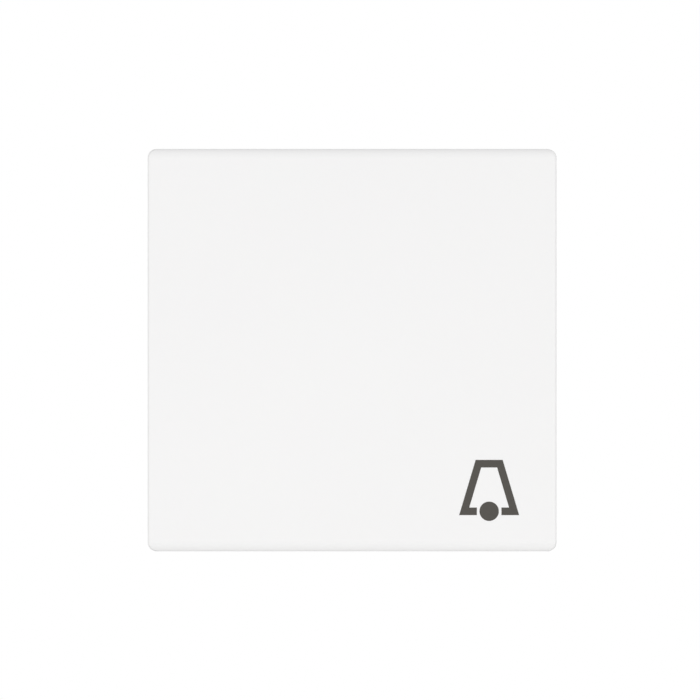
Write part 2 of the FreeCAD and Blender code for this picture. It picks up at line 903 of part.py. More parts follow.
def release_button(name, level):
    """A stem through the socket's back with a bar and two prongs that press both clamp springs open."""
    body = new_body(name)
    bar_back = terminal_back + button_play
    bar_front = bar_back + button_bar
    back = -socket_depth - button_travel
    bend = clamp_inner + clamp_bend
    slope = (clamp_back - clamp_tip) / (clamp_free_end() - bend)
    prong_front = slope * (button_reach - button_prong - bend) - clamp_back - button_touch
    pad(body, "front", back, bar_back, [Disc(0, port_up * level, button_radius)], "stem")
    low = port_up * level - button_height / 2
    high = low + button_height
    pad(body, "front", bar_back, bar_front, [rectangle(-button_reach, button_reach, low, high)], "bar")
    prongs = [
        rectangle(button_reach - button_prong, button_reach, low, high),
        rectangle(-button_reach, button_prong - button_reach, low, high),
    ]
    pad(body, "front", bar_front, prong_front, prongs, "prongs")
    return body


def socket_flange(body):
    pad(body, "front", -flange_thick, 0, [chamfered(flange_across, flange_up, flange_corner)], "flange")
    for side in (1, -1):
        gusset = [
            (-flange_thick, socket_half * side),
            (-flange_thick, (flange_up - gusset_margin) * side),
            (-gusset_depth, socket_half * side),
        ]
        for place in (gusset_across, -gusset_across):
            pad(body, "side", place - rib_thick / 2, place + rib_thick / 2, [gusset], "gusset")


def terminal_chamber(level):
    """The outline of the room for one pair of terminals. It goes on through a window in the socket's floor."""
    low, high = in_order(terminal_low * level, hollow_half * level)
    return rectangle(-terminal_across, terminal_across, low, high)


def socket():
    """The moulded socket that holds the contacts, with a flange that bears on the ring's back.

    Two webs run back from its floor and close the sides of the hollow between the terminal blocks.
    """
    body = new_body("socket")
    block = chamfered(socket_half, socket_half, socket_wall)
    pad(body, "front", floor_back, cover_back, [block], "block")
    socket_flange(body)
    pocket(body, "front", chamber_back, cover_back, [centred(hollow_half, hollow_half)], "contact_chamber")
    pocket(body, "front", floor_back, chamber_back, [terminal_chamber(1), terminal_chamber(-1)], "windows")
    webs = [
        rectangle(back_hollow_half, back_hollow_half + socket_wall, -terminal_low, terminal_low),
        rectangle(-back_hollow_half - socket_wall, -back_hollow_half, -terminal_low, terminal_low),
    ]
    pad(body, "front", -socket_depth, floor_back, webs, "webs")
    for across, up in cover_screw_places():
        boss = about(across, up, boss_half, boss_half)
        pad(body, "front", chamber_back, cover_back, [boss], "boss")
    bores = [Disc(across, up, cover_screw_radius) for across, up in cover_screw_places()]
    pocket(body, "front", chamber_back, cover_back, bores, "boss_bores")
    rivets = [Disc(0, rivet_up * level, rivet_radius) for level in (1, -1)]
    pocket(body, "front", -flange_thick, 0, rivets, "rivet_holes")
    return body


def on_port_mouth(edge):
    return near(edge.BoundBox.YMin, socket_depth) and near(edge.Length, port_half * 2)


def terminal_block(name, level):
    """A moulded box behind one of the socket's windows, with two funnels for wires and the button's hole.

    Its inner wall reaches out as a shelf to the socket's webs, and two ribs back up the clamp springs.
    """
    body = new_body(name)
    wall = terminal_across + socket_wall
    shelf = (terminal_low - socket_wall) * level
    inner = terminal_low * level
    outer = socket_half * level
    outline = [
        (-back_hollow_half, shelf),
        (back_hollow_half, shelf),
        (back_hollow_half, inner),
        (wall, inner),
        (wall, outer),
        (-wall, outer),
        (-wall, inner),
        (-back_hollow_half, inner),
    ]
    pad(body, "front", -socket_depth, floor_back, [outline], "box")
    pocket(body, "front", terminal_back, floor_back, [terminal_chamber(level)], "chamber")
    low, high = in_order(terminal_low * level, hollow_half * level)
    ribs = [
        rectangle(clamp_inner - rib_thick, clamp_inner, low, high),
        rectangle(-clamp_inner, rib_thick - clamp_inner, low, high),
    ]
    pad(body, "front", clamp_thick - clamp_back, floor_back, ribs, "spring_ribs")
    ports = [about(port_across * side, port_up * level, port_half, port_half) for side in (1, -1)]
    pocket(body, "front", -socket_depth, terminal_back, ports, "wire_ports")
    bevelled(body, funnel_depth, on_port_mouth, "wire_funnels")
    stem = Disc(0, port_up * level, button_radius + button_play)
    pocket(body, "front", -socket_depth, terminal_back, [stem], "button_hole")
    return body


def cover_screws():
    """Two self-tapping screws with slotted cheese heads, both of one kind."""
    body = new_body("cover_screws")
    head_front = cover_front + cover_screw_head_thick
    end = cover_front - cover_screw_length
    outline = [
        (end, 0),
        (end, cover_screw_radius),
        (cover_front, cover_screw_radius),
        (cover_front, cover_screw_head),
        (head_front, cover_screw_head),
        (head_front, 0),
    ]
    slots = []
    for across, up in cover_screw_places():
        turned(body, across, up, outline, "screw")
        slots.append(about(across, up, cover_screw_head + overshoot, cover_screw_slot / 2))
    pocket(body, "front", head_front - cover_screw_slot_depth, head_front, slots, "slots")
    return body


def claw_lug(side, level):
    """One of the ring's bent-down lugs that hold a claw's pin, seen in plan, with its two z limits."""
    start = claw_half_width + lug_play
    return (claw_pivot_across * side, start * level, (start + lug_thick) * level)


def support_ring():
    """The stamped steel ring with slots for the box screws and bent lugs for the claws."""
    body = new_body("support_ring")
    half = ring_side / 2
    pad(body, "front", 0, ring_thick, [chamfered(half, half, ring_corner)], "sheet")
    pocket(body, "front", 0, ring_thick, [chamfered(ring_hole, ring_hole, socket_wall / 2)], "opening")
    half_run = (box_slot_length - box_slot_width) / 2
    slots = []
    for side in (1, -1):
        slot = slot_along_x(box_spacing / 2 * side, half_run, box_slot_width / 2)
        slots += [slot, turned_upright(slot)]
    pocket(body, "front", 0, ring_thick, slots, "box_slots")
    holes = [Disc(0, rivet_up * level, rivet_radius) for level in (1, -1)]
    for side in (1, -1):
        across = (claw_pivot_across + claw_screw_arm) * side
        holes.append(Disc(across, 0, claw_screw_radius + claw_screw_play))
    pocket(body, "front", 0, ring_thick, holes, "holes")
    for side in (1, -1):
        for level in (1, -1):
            across, low, high = claw_lug(side, level)
            back = -claw_pivot_behind - claw_pin_radius - lug_margin
            lug = [
                (across - lug_half, 0),
                (across - lug_half, back + lug_margin),
                (across - lug_half + lug_margin, back),
                (across + lug_half - lug_margin, back),
                (across + lug_half, back + lug_margin),
                (across + lug_half, 0),
            ]
            pad(body, "plan", low, high, [lug], "lug")
            pin_hole = Disc(across, -claw_pivot_behind, claw_pin_radius)
            pocket(body, "plan", low, high, [pin_hole], "pin_hole")
    return body


def ring_rivets():
    """Two rivets, both of one kind, that hold the socket's flange to the ring."""
    body = new_body("ring_rivets")
    head_front = ring_thick + rivet_head_thick
    tail_back = -flange_thick - rivet_head_thick
    outline = [
        (tail_back, 0),
        (tail_back, rivet_tail),
        (-flange_thick, rivet_tail),
        (-flange_thick, rivet_radius),
        (ring_thick, rivet_radius),
        (ring_thick, rivet_head),
        (head_front, rivet_head),
        (head_front, 0),
    ]
    for level in (1, -1):
        turned(body, 0, rivet_up * level, outline, "rivet")
    return body


def claw_pin(name, side):
    """The headed pin that a claw turns on. Its plain end is staked in the lower lug."""
    body = new_body(name)
    across = claw_pivot_across * side
    half = claw_half_width + lug_play + lug_thick
    pad(body, "plan", -half, half, [Disc(across, -claw_pivot_behind, claw_pin_radius)], "pin")
    head = Disc(across, -claw_pivot_behind, claw_pin_head)
    pad(body, "plan", half, half + claw_pin_head_thick, [head], "head")
    return body


def claw(name, side):
    """A folded steel claw: a rolled knuckle, a tab that the screw pulls forward, and two toothed legs."""
    body = new_body(name)

    def at(outward, behind):
        return ((claw_pivot_across + outward) * side, -(claw_pivot_behind + behind))

    inner = -claw_knuckle
    outer = claw_sheet - claw_knuckle
    tab_front = claw_knuckle - claw_sheet
    profile = [
        at(inner, 0),
        at(inner, claw_reach + claw_bevel),
        at(inner + claw_tip, claw_reach + claw_tip + claw_bevel),
        at(outer + claw_tip, claw_reach + claw_tip - claw_bevel),
        at(outer, claw_reach - claw_bevel),
        at(outer, claw_knuckle),
        at(claw_tab_length, claw_knuckle),
        at(claw_tab_length, tab_front),
        at(0, tab_front),
    ]
    pad(body, "plan", -claw_half_width, claw_half_width, [profile], "fold")
    knuckle = Disc(claw_pivot_across * side, -claw_pivot_behind, claw_knuckle)
    pad(body, "plan", -claw_half_width, claw_half_width, [knuckle], "knuckle")
    bore = Disc(claw_pivot_across * side, -claw_pivot_behind, claw_pin_radius + claw_pin_play)
    pocket(body, "plan", -claw_half_width, claw_half_width, [bore], "bore")
    top = -claw_pivot_behind - claw_knuckle - claw_sheet
    bottom = -claw_pivot_behind - claw_reach - claw_tip * 2
    window = rectangle(bottom, top, -claw_window, claw_window)
    inside = (claw_pivot_across - claw_knuckle - overshoot) * side
    outside = (claw_pivot_across + claw_tip + overshoot) * side
    pocket(body, "side", inside, outside, [window], "window")
    middle = (claw_pivot_across + claw_screw_arm) * side
    slot_half = claw_screw_radius + claw_slot_play
    slot = rectangle(middle - slot_half, middle + slot_half, -slot_half, slot_half)
    tab_back = -claw_pivot_behind - claw_knuckle
    pocket(body, "front", tab_back, tab_back + claw_sheet, [slot], "screw_slot")
    tip = (claw_pivot_across + outer + claw_tip + overshoot) * side
    root = (claw_pivot_across + outer + claw_tip - tooth_depth) * side
    leg_middle = (claw_half_width + claw_window) / 2
    notches = []
    for level in (1, -1):
        centre = leg_middle * level
        notches.append([(tip, centre - tooth_half), (root, centre), (tip, centre + tooth_half)])
    pocket(body, "front", bottom, tooth_length - claw_pivot_behind - claw_reach, notches, "teeth")
    return body


def claw_screw(name, side):
    """A slotted screw whose head stays on the ring's front."""
    body = new_body(name)
    head_front = ring_thick + claw_screw_head_thick
    end = ring_thick - claw_screw_length
    outline = [
        (end, 0),
        (end, claw_screw_radius),
        (ring_thick, claw_screw_radius),
        (ring_thick, claw_screw_head),
        (head_front, claw_screw_head),
        (head_front, 0),
    ]
    across = (claw_pivot_across + claw_screw_arm) * side
    turned(body, across, 0, outline, "screw")
    slot = about(across, 0, claw_screw_head + overshoot, driver_slot / 2)
    pocket(body, "front", head_front - driver_slot_depth, head_front, [slot], "slot")
    return body


def claw_nut(name, side):
    """A saddle nut: its half-round front rolls on the claw's tab while the screw draws it forward."""
    body = new_body(name)
    across = (claw_pivot_across + claw_screw_arm) * side
    axis = -claw_pivot_behind - claw_knuckle - nut_radius
    outline = [
        (across - nut_radius, axis, nut_radius),
        (across, axis + nut_radius, nut_radius),
        (across + nut_radius, axis),
        (across + nut_radius, axis - nut_thick),
        (across - nut_radius, axis - nut_thick),
    ]
    pad(body, "plan", -nut_half_width, nut_half_width, [outline], "saddle")
    bore = Disc(across, 0, claw_screw_radius + nut_play)
    pocket(body, "front", axis - nut_thick, axis + nut_radius, [bore], "bore")
    return body


def build():
    pieces = [
        rocker_plate(),
        bell_sign(),
        tumbler(),
        return_spring(),
        socket_cover(),
        cover_screws(),
        push_pin(),
        contact_lever(),
        moving_contact(),
        fixed_contact(),
        contact_spring(),
        common_strip(),
        output_strip(),
        socket(),
        support_ring(),
        ring_rivets(),
    ]
    for level_name, level in (("upper", 1), ("lower", -1)):
        pieces.append(terminal_block(f"terminal_block_{level_name}", level))
        pieces.append(release_button(f"release_button_{level_name}", level))
        for side_name, side in (("right", 1), ("left", -1)):
            pieces.append(clamp_spring(f"clamp_spring_{level_name}_{side_name}", side, level))
    for side_name, side in (("right", 1), ("left", -1)):
        pieces.append(claw(f"claw_{side_name}", side))
        pieces.append(claw_pin(f"claw_pin_{side_name}", side))
        pieces.append(claw_screw(f"claw_screw_{side_name}", side))
        pieces.append(claw_nut(f"claw_nut_{side_name}", side))
    return pieces


pieces = build()
doc.recompute()
for item in doc.Objects:
    if "Invalid" in item.State or "Error" in item.State:
        raise RuntimeError(f"{item.Label} did not build: {item.State}")
for piece in pieces:
    if piece.Shape.isNull() or not piece.Shape.isValid() or not piece.Shape.Solids:
        raise RuntimeError(f"{piece.Label} has no sound solid")
os.makedirs("parts", exist_ok=True)
for piece in pieces:
    piece.Shape.exportStep(f"parts/{piece.Label}.step")
    print(piece.Label, len(piece.Shape.Solids), "solid, volume", round(piece.Shape.Volume, 2))
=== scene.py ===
# %% [markdown]
# # A doorbell push, dressed in Blender
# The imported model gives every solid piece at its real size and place. This lesson gives the pieces
# their finishes, builds what a solid modeller leaves plain, such as threads and round spring wire,
# and lights the plate the way the photograph shows it: white plastic on a white ground.

# %% Load the frame
import json
import math
import bpy
import bmesh
from mathutils import Matrix, Vector


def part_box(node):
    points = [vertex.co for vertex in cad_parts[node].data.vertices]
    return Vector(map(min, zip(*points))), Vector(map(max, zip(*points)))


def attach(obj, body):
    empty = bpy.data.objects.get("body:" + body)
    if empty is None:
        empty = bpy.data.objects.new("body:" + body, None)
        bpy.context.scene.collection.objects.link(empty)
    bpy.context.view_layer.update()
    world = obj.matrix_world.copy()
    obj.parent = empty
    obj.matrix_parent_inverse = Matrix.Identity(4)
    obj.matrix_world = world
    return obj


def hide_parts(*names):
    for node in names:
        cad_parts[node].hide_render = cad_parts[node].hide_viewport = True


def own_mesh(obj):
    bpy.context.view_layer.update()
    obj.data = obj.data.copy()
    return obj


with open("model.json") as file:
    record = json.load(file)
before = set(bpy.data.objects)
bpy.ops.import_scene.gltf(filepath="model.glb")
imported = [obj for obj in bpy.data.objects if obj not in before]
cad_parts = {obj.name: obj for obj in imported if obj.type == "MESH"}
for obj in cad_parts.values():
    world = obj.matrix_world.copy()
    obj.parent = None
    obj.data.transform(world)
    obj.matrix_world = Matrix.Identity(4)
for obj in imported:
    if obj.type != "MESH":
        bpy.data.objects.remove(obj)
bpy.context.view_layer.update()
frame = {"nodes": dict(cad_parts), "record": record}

nodes = frame["nodes"]
MM = 0.001

# %% [markdown]
# ## Numbers that come from the frame
# A size could be typed in again here, but a change to the solids would then leave this script behind.
# So the plate's front, the screws' axes, the springs' seats and the reach of each clamp spring are
# read from the boxes of their nodes. What a box can't tell, such as a thread's pitch or how thick a
# strip is, is written down in the cell that uses it.

# %% Places read from the plate
plate_low, plate_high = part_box("rocker_plate")
plate_middle = (plate_low + plate_high) / 2
plate_width = plate_high.x - plate_low.x
plate_front = plate_low.y
print(f"plate {plate_width / MM:.1f} mm wide, front at {plate_front / MM:.1f} mm")

# %% [markdown]
# ## The camera
# The photograph is taken straight on from far away, so the plate's sides don't show. A parallel view
# would hide them too, but a real camera has a lens, so this is a long lens a good metre off. The
# plate is 409 of the frame's 700 pixels wide, and that ratio gives the lens once the distance is
# chosen. The plate's middle is counted in pixels from the picture's top left corner, so the
# picture's own middle is at 350, 350.

# %% Camera
FRAME_PIXELS = 700
PLATE_PIXELS = 408.9
PLATE_MIDDLE = (352.1, 350.1)
CAMERA_DISTANCE = 1.25
SENSOR_WIDTH = 36
CLIP_END = 10
frame_width = plate_width * FRAME_PIXELS / PLATE_PIXELS
pixel = frame_width / FRAME_PIXELS

camera_data = bpy.data.cameras.new("camera")
camera_data.sensor_width = SENSOR_WIDTH
camera_data.lens = SENSOR_WIDTH * CAMERA_DISTANCE / frame_width
camera_data.clip_end = CLIP_END
camera = bpy.data.objects.new("camera", camera_data)
camera.location = (
    plate_middle.x + (FRAME_PIXELS / 2 - PLATE_MIDDLE[0]) * pixel,
    plate_front - CAMERA_DISTANCE,
    plate_middle.z + (PLATE_MIDDLE[1] - FRAME_PIXELS / 2) * pixel,
)
camera.rotation_euler = (math.radians(90), 0, 0)
bpy.context.scene.collection.objects.link(camera)
bpy.context.scene.camera = camera
print(f"lens {camera_data.lens:.0f} mm, one pixel is {pixel / MM:.3f} mm on the plate")

# %% [markdown]
# ## Shader sums written as sums
# A pattern could be built by adding and linking nodes one by one, but it is easiest to read as
# arithmetic. `Wire` wraps the output of a node, and its operators add Math nodes, so
# `0.27 + fine * 0.08` builds the two nodes that it says. `Recipe` owns the node tree of a material
# or of the world, and its `node` method makes any other node: settings first, then its sockets.

# %% Wires and recipes
class Wire:
    """A node's output that can be used in sums."""

    def __init__(self, recipe, socket):
        self.recipe = recipe
        self.socket = socket

    def __add__(self, other):
        return self.recipe.maths("ADD", self, other)

    def __mul__(self, other):
        return self.recipe.maths("MULTIPLY", self, other)

    __radd__ = __add__
    __rmul__ = __mul__


class Recipe:
    """The node tree of one material, or of the world."""

    def __init__(self, owner):
        self.owner = owner
        owner.use_nodes = True
        self.tree = owner.node_tree
        self.tree.nodes.clear()

    def node(self, kind, settings=None, sockets=None, output=0):
        made = self.tree.nodes.new(kind)
        for name, value in (settings or {}).items():
            setattr(made, name, value)
        for name, value in (sockets or {}).items():
            if isinstance(value, Wire):
                self.tree.links.new(value.socket, made.inputs[name])
            else:
                made.inputs[name].default_value = value
        return Wire(self, made.outputs[output]) if made.outputs else None

    def maths(self, operation, first, second):
        return self.node("ShaderNodeMath", {"operation": operation}, {0: first, 1: second})


print("wires and recipes ready")

# %% [markdown]
# ## What the finishes are made of
# Every finish here is a slow or fine grey pattern that shifts a colour, a roughness or a bump. An
# image could give such patterns too, but noise has no seams, and its scale is set in the piece's own
# metres, so it stays the same from any side and on any piece.

# %% Patterns, colours and bumps
class Finish(Recipe):
    """A recipe for the surface of a piece."""

    def __init__(self, name):
        super().__init__(bpy.data.materials.new(name))

    def noise(self, scale, detail, stretch=(1, 1, 1)):
        """Soft random grey from 0 to 1. A larger stretch along an axis packs it closer there."""
        place = self.node("ShaderNodeTexCoord", output="Object")
        pulled = self.node("ShaderNodeMapping", sockets={"Vector": place, "Scale": stretch})
        settings = {"Vector": pulled, "Scale": scale, "Detail": detail}
        return self.node("ShaderNodeTexNoise", sockets=settings)

    def ramp(self, value, low, high):
        """0 below low, 1 above high, straight between."""
        return self.node("ShaderNodeMapRange", {"clamp": True}, {0: value, 1: low, 2: high})

    def blend(self, factor, first, second):
        """A colour between two others."""
        colours = {0: factor, 6: (*first, 1), 7: (*second, 1)}
        return self.node("ShaderNodeMix", {"data_type": "RGBA"}, colours, output=2)

    def bump(self, height, distance):
        sockets = {"Height": height, "Distance": distance, "Strength": 1.0}
        return self.node("ShaderNodeBump", sockets=sockets)

    def surface(self, **sockets):
        """The Principled shader, with a socket's name written with _ for each space."""
        named = {name.replace("_", " "): value for name, value in sockets.items()}
        shader = self.node("ShaderNodeBsdfPrincipled", sockets=named)
        self.node("ShaderNodeOutputMaterial", sockets={"Surface": shader})
        return self.owner


FINISHES = {}
print("patterns ready")

# %% [markdown]
# ## White plastic of the plate
# The plate is moulded in a glossy white plastic. A single white would do from afar, but up close such
# a face isn't one flat white: the melt leaves very slow changes of tone, and the polished mould
# leaves a faint waviness that only the reflections show. So one noise moves the colour between two
# near whites, and two others move the roughness and the bump.

# %% Rocker plastic
PLATE_WAVES = 0.03 * MM


def rocker_plastic():
    finish = Finish("rocker_plastic")
    slow = finish.noise(scale=28, detail=1)
    fine = finish.noise(scale=900, detail=3)
    wave = finish.noise(scale=160, detail=1)
    return finish.surface(
        Base_Color=finish.blend(slow, (0.868, 0.864, 0.865), (0.886, 0.883, 0.882)),
        Roughness=0.27 + fine * 0.08,
        Normal=finish.bump(wave * 0.7 + fine * 0.05, PLATE_WAVES),
    )


FINISHES["rocker_plastic"] = rocker_plastic()
print("made the plate's plastic")

# %% [markdown]
# ## Ink of the bell sign
# The sign is printed in a warm dark grey that is duller than the plate. It could be painted onto the
# plate by a mask, but the sign is a solid of its own, so its edge is sharp at any distance and the
# ink is simply its material. The pigment shows as a very fine speckle.

# %% Sign ink
INK_FILM = 0.01 * MM


def sign_ink():
    finish = Finish("sign_ink")
    speckle = finish.noise(scale=2600, detail=4)
    return finish.surface(
        Base_Color=finish.blend(speckle, (0.062, 0.057, 0.050), (0.078, 0.072, 0.064)),
        Roughness=0.5 + speckle * 0.12,
        Normal=finish.bump(speckle, INK_FILM),
    )


FINISHES["sign_ink"] = sign_ink()
print("made the sign's ink")

# %% [markdown]
# ## Engineering plastics
# The carrier, cover, socket, pin and buttons are moulded in plainer plastics with a spark-eroded
# mould texture: a fine grain in the bump and in the roughness. Five materials could be written out,
# but they differ only in colour and in how dull they are, so one function makes them from a table.

# %% Moulded plastics
MOULD_GRAIN = 0.02 * MM
PLASTICS = {
    "carrier_plastic": {"low": (0.66, 0.66, 0.64), "high": (0.73, 0.73, 0.71), "dullness": 0.42},
    "cover_plastic": {"low": (0.53, 0.53, 0.51), "high": (0.60, 0.60, 0.58), "dullness": 0.5},
    "socket_plastic": {"low": (0.030, 0.032, 0.035), "high": (0.052, 0.054, 0.058), "dullness": 0.5},
    "pin_plastic": {"low": (0.68, 0.67, 0.62), "high": (0.74, 0.73, 0.68), "dullness": 0.4},
    "button_plastic": {"low": (0.52, 0.12, 0.02), "high": (0.62, 0.16, 0.03), "dullness": 0.36},
}


def moulded_plastic(name, low, high, dullness):
    finish = Finish(name)
    slow = finish.noise(scale=60, detail=2)
    speckle = finish.noise(scale=1500, detail=4)
    tone = finish.ramp(slow * 0.5 + speckle * 0.5, low=0.3, high=0.7)
    return finish.surface(
        Base_Color=finish.blend(tone, low, high),
        Roughness=dullness - 0.06 + speckle * 0.12,
        Normal=finish.bump(speckle, MOULD_GRAIN),
    )


for name, look in PLASTICS.items():
    FINISHES[name] = moulded_plastic(name, **look)
print("plastics:", ", ".join(PLASTICS))

# %% [markdown]
# ## Metals
# The ring and claws are stamped from rolled strip and zinc plated. Rolling leaves a grain along the
# strip, plating leaves a cloudy bloom, and both change how dull the metal is more than its colour.
# The grain could be fine lines drawn in the bump, but noise that is packed closer across the strip
# than along it gives uneven lines, as rolling does. Screws and brass get the same with the grain
# along their own length, and spring wire and silver an even one.

# %% Plated and rolled metals
METAL_GRAIN = 0.008 * MM
ALONG_X = (60, 900, 900)
ALONG_Y = (900, 60, 900)
METALS = {
    "zinc_steel": {
        "low": (0.50, 0.51, 0.53), "high": (0.62, 0.63, 0.64),
        "dullness": 0.36, "grain": ALONG_X, "bloom_scale": 90,
    },
    "screw_steel": {
        "low": (0.56, 0.53, 0.44), "high": (0.66, 0.62, 0.50),
        "dullness": 0.3, "grain": ALONG_Y, "bloom_scale": 260,
    },
    "spring_steel": {
        "low": (0.36, 0.36, 0.37), "high": (0.46, 0.46, 0.47),
        "dullness": 0.3, "grain": (300, 300, 300), "bloom_scale": 400,
    },
    "strip_brass": {
        "low": (0.66, 0.47, 0.20), "high": (0.75, 0.55, 0.27),
        "dullness": 0.3, "grain": ALONG_Y, "bloom_scale": 120,
    },
    "contact_silver": {
        "low": (0.78, 0.77, 0.73), "high": (0.86, 0.85, 0.81),
        "dullness": 0.22, "grain": (400, 400, 400), "bloom_scale": 300,
    },
}


def rolled_metal(name, low, high, dullness, grain, bloom_scale):
    finish = Finish(name)
    bloom = finish.ramp(finish.noise(bloom_scale, detail=3), low=0.32, high=0.68)
    lines = finish.noise(scale=1, detail=3, stretch=grain)
    return finish.surface(
        Base_Color=finish.blend(bloom, low, high),
        Metallic=1.0,
        Roughness=dullness - 0.07 + bloom * 0.07 + lines * 0.12,
        Normal=finish.bump(lines, METAL_GRAIN),
    )


for name, look in METALS.items():
    FINISHES[name] = rolled_metal(name, **look)
print("metals:", ", ".join(METALS))

# %% [markdown]
# ## Every node gets its finish
# Each solid names the material slot that it belongs to. A material could be given to each node by
# hand, but the record already knows which node has which slot, so a loop looks it up.

# %% Give every node its finish
slot_of = {part["node"]: part["material_slot"] for part in frame["record"]["subparts"]}
for name, node in nodes.items():
    node.data.materials.clear()
    node.data.materials.append(FINISHES[slot_of[name]])
print("finished:", len(nodes), "nodes in", len(FINISHES), "finishes")

# %% [markdown]
# ## Soft edges on hard pieces
# No moulded or stamped edge is perfectly sharp. A small bevel catches a line of light and makes a
# solid read as an object. The edges could be cut in the mesh, but modifiers leave the solid's own
# mesh as it is. The points that faces share are welded first, then the triangles of each flat face
# are merged into one, so that only real edges are left to round. Weighted normals keep the flat
# faces flat in the shading.

# %% Edge rounding by modifiers
WELD_REACH = 0.002 * MM
FLAT_WITHIN = math.radians(0.5)
SHARP_FROM = math.radians(30)
EDGE_STEPS = 2
EDGE_WIDTHS_MM = {
    "tumbler": 0.12,
    "push_pin": 0.2,
    "socket": 0.15,
    "socket_cover": 0.12,
    "terminal_block": 0.15,
    "release_button": 0.2,
    "support_ring": 0.10,
    "claw": 0.08,
    "ring_rivets": 0.4,
    "cover_screws": 0.12,
    "contact_lever": 0.06,
    "moving_contact": 0.25,
    "fixed_contact": 0.25,
}


def soften(node, width):
    for polygon in node.data.polygons:
        polygon.use_smooth = True
    weld = node.modifiers.new("weld", "WELD")
    weld.merge_threshold = WELD_REACH
    merge = node.modifiers.new("merge", "DECIMATE")
    merge.decimate_type = "DISSOLVE"
    merge.angle_limit = FLAT_WITHIN
    bevel = node.modifiers.new("edge", "BEVEL")
    bevel.width = width
    bevel.segments = EDGE_STEPS
    bevel.limit_method = "ANGLE"
    bevel.angle_limit = SHARP_FROM
    bevel.use_clamp_overlap = True
    bevel.face_strength_mode = "FSTR_ALL"
    normals = node.modifiers.new("normals", "WEIGHTED_NORMAL")
    normals.use_face_influence = True


def edge_width(name):
    """The width of the longest family name that the node's name starts with, or None."""
    families = [family for family in EDGE_WIDTHS_MM if name.startswith(family)]
    return EDGE_WIDTHS_MM[max(families, key=len)] * MM if families else None


softened = [name for name in nodes if edge_width(name)]
for name in softened:
    soften(nodes[name], edge_width(name))
print("softened:", len(softened), "nodes")

# %% [markdown]
# ## A mesh from rings of points
# Screws and springs are both a closed section carried along a path. A curve with a bevel carries the
# same section all the way, but a thread's section changes as it goes. So `skin` joins any rings of
# points with faces and closes the two ends. `show` makes the object from such a mesh, gives it the
# finish of the node that it stands for, and lets it replace that node.

# %% Rings to mesh
def skin(name, rings):
    count = len(rings[0])
    faces = []
    for row in range(len(rings) - 1):
        start = row * count
        for step in range(count):
            after = (step + 1) % count
            faces.append((start + step, start + after, start + count + after, start + count + step))
    last = (len(rings) - 1) * count
    faces.append(tuple(range(count))[::-1])
    faces.append(tuple(last + step for step in range(count)))
    mesh = bpy.data.meshes.new(name)
    mesh.from_pydata([point for ring in rings for point in ring], [], faces)
    mesh.validate()
    shape = bmesh.new()
    shape.from_mesh(mesh)
    bmesh.ops.recalc_face_normals(shape, faces=shape.faces)
    shape.to_mesh(mesh)
    shape.free()
    return mesh


def show(name, mesh, stands_for, smooth_below=40):
    """An object that replaces a node. Edges flatter than smooth_below, in degrees, shade smooth."""
    slot = slot_of[stands_for]
    mesh.materials.append(FINISHES[slot])
    mesh.shade_smooth()
    mesh.set_sharp_from_angle(angle=math.radians(smooth_below))
    piece = bpy.data.objects.new(name, mesh)
    bpy.context.scene.collection.objects.link(piece)
    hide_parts(stands_for)
    return piece


print("skin and show ready")

# %% [markdown]
# ## The thread of a claw screw
# The solids have plain shanks. The real screws are M3 with a right-hand thread of 0.5 mm pitch. A
# thread could be a helix cut out by a boolean, which is slow and breaks easily. Here the shank's
# radius depends on how far along and how far round a point is: the crest climbs one pitch in one
# turn. The crest's flat is an eighth of the pitch wide and the root's a quarter, with straight
# flanks between them.

# %% Thread
THREAD_PITCH = 0.5 * MM
THREAD_DEPTH = 0.27 * MM
CREST_RADIUS = 1.5 * MM
ROOT_RADIUS = CREST_RADIUS - THREAD_DEPTH
CREST_SHARE = 1 / 8
ROOT_SHARE = 1 / 4


def thread_radius(along, turn):
    """The shank's radius at a place along it, in metres, and round it, in turns."""
    phase = (along / THREAD_PITCH - turn) % 1.0
    from_crest = min(phase, 1 - phase) * 2
    slope = (from_crest - CREST_SHARE) / (1 - CREST_SHARE - ROOT_SHARE)
    return CREST_RADIUS - THREAD_DEPTH * min(max(slope, 0), 1)


print(f"root {ROOT_RADIUS / MM:.2f} mm, crest {thread_radius(0, 0) / MM:.2f} mm from the axis")

# %% [markdown]
# ## The screw's rings
# The head is a cheese head: a low cylinder with a rounded front rim. Behind it comes a short plain
# neck, and then the thread, which rises out of the root over its first pitch and sinks back into it
# over its last. They could be three meshes that touch, but one row of rings on one axis makes them
# one skin. The neck's first ring stands a hair behind the head's last, so that no two rings share a
# plane, and its second one just before the thread keeps the neck's shading straight.

# %% Rings of a screw
AROUND = 32
ROWS_PER_PITCH = 8
RIM_RADIUS = 0.35 * MM
RIM_STEPS = 4
SHOULDER = 0.01 * MM
NECK_LENGTH = 0.6 * MM
NECK_RING = 0.1 * MM


def ring_round(middle, along, radii):
    """Points round the screw's axis, with a radius for each."""
    points = []
    for step, radius in enumerate(radii):
        angle = 2 * math.pi * step / AROUND
        points.append((
            middle.x + radius * math.sin(angle),
            along,
            middle.z + radius * math.cos(angle),
        ))
    return points


def head_rings(middle, front, back, radius):
    rings = []
    for step in range(RIM_STEPS + 1):
        turn = math.radians(90 * step / RIM_STEPS)
        inset = RIM_RADIUS * (1 - math.sin(turn))
        depth = RIM_RADIUS * (1 - math.cos(turn))
        rings.append(ring_round(middle, front + depth, [radius - inset] * AROUND))
    rings.append(ring_round(middle, back, [radius] * AROUND))
    return rings


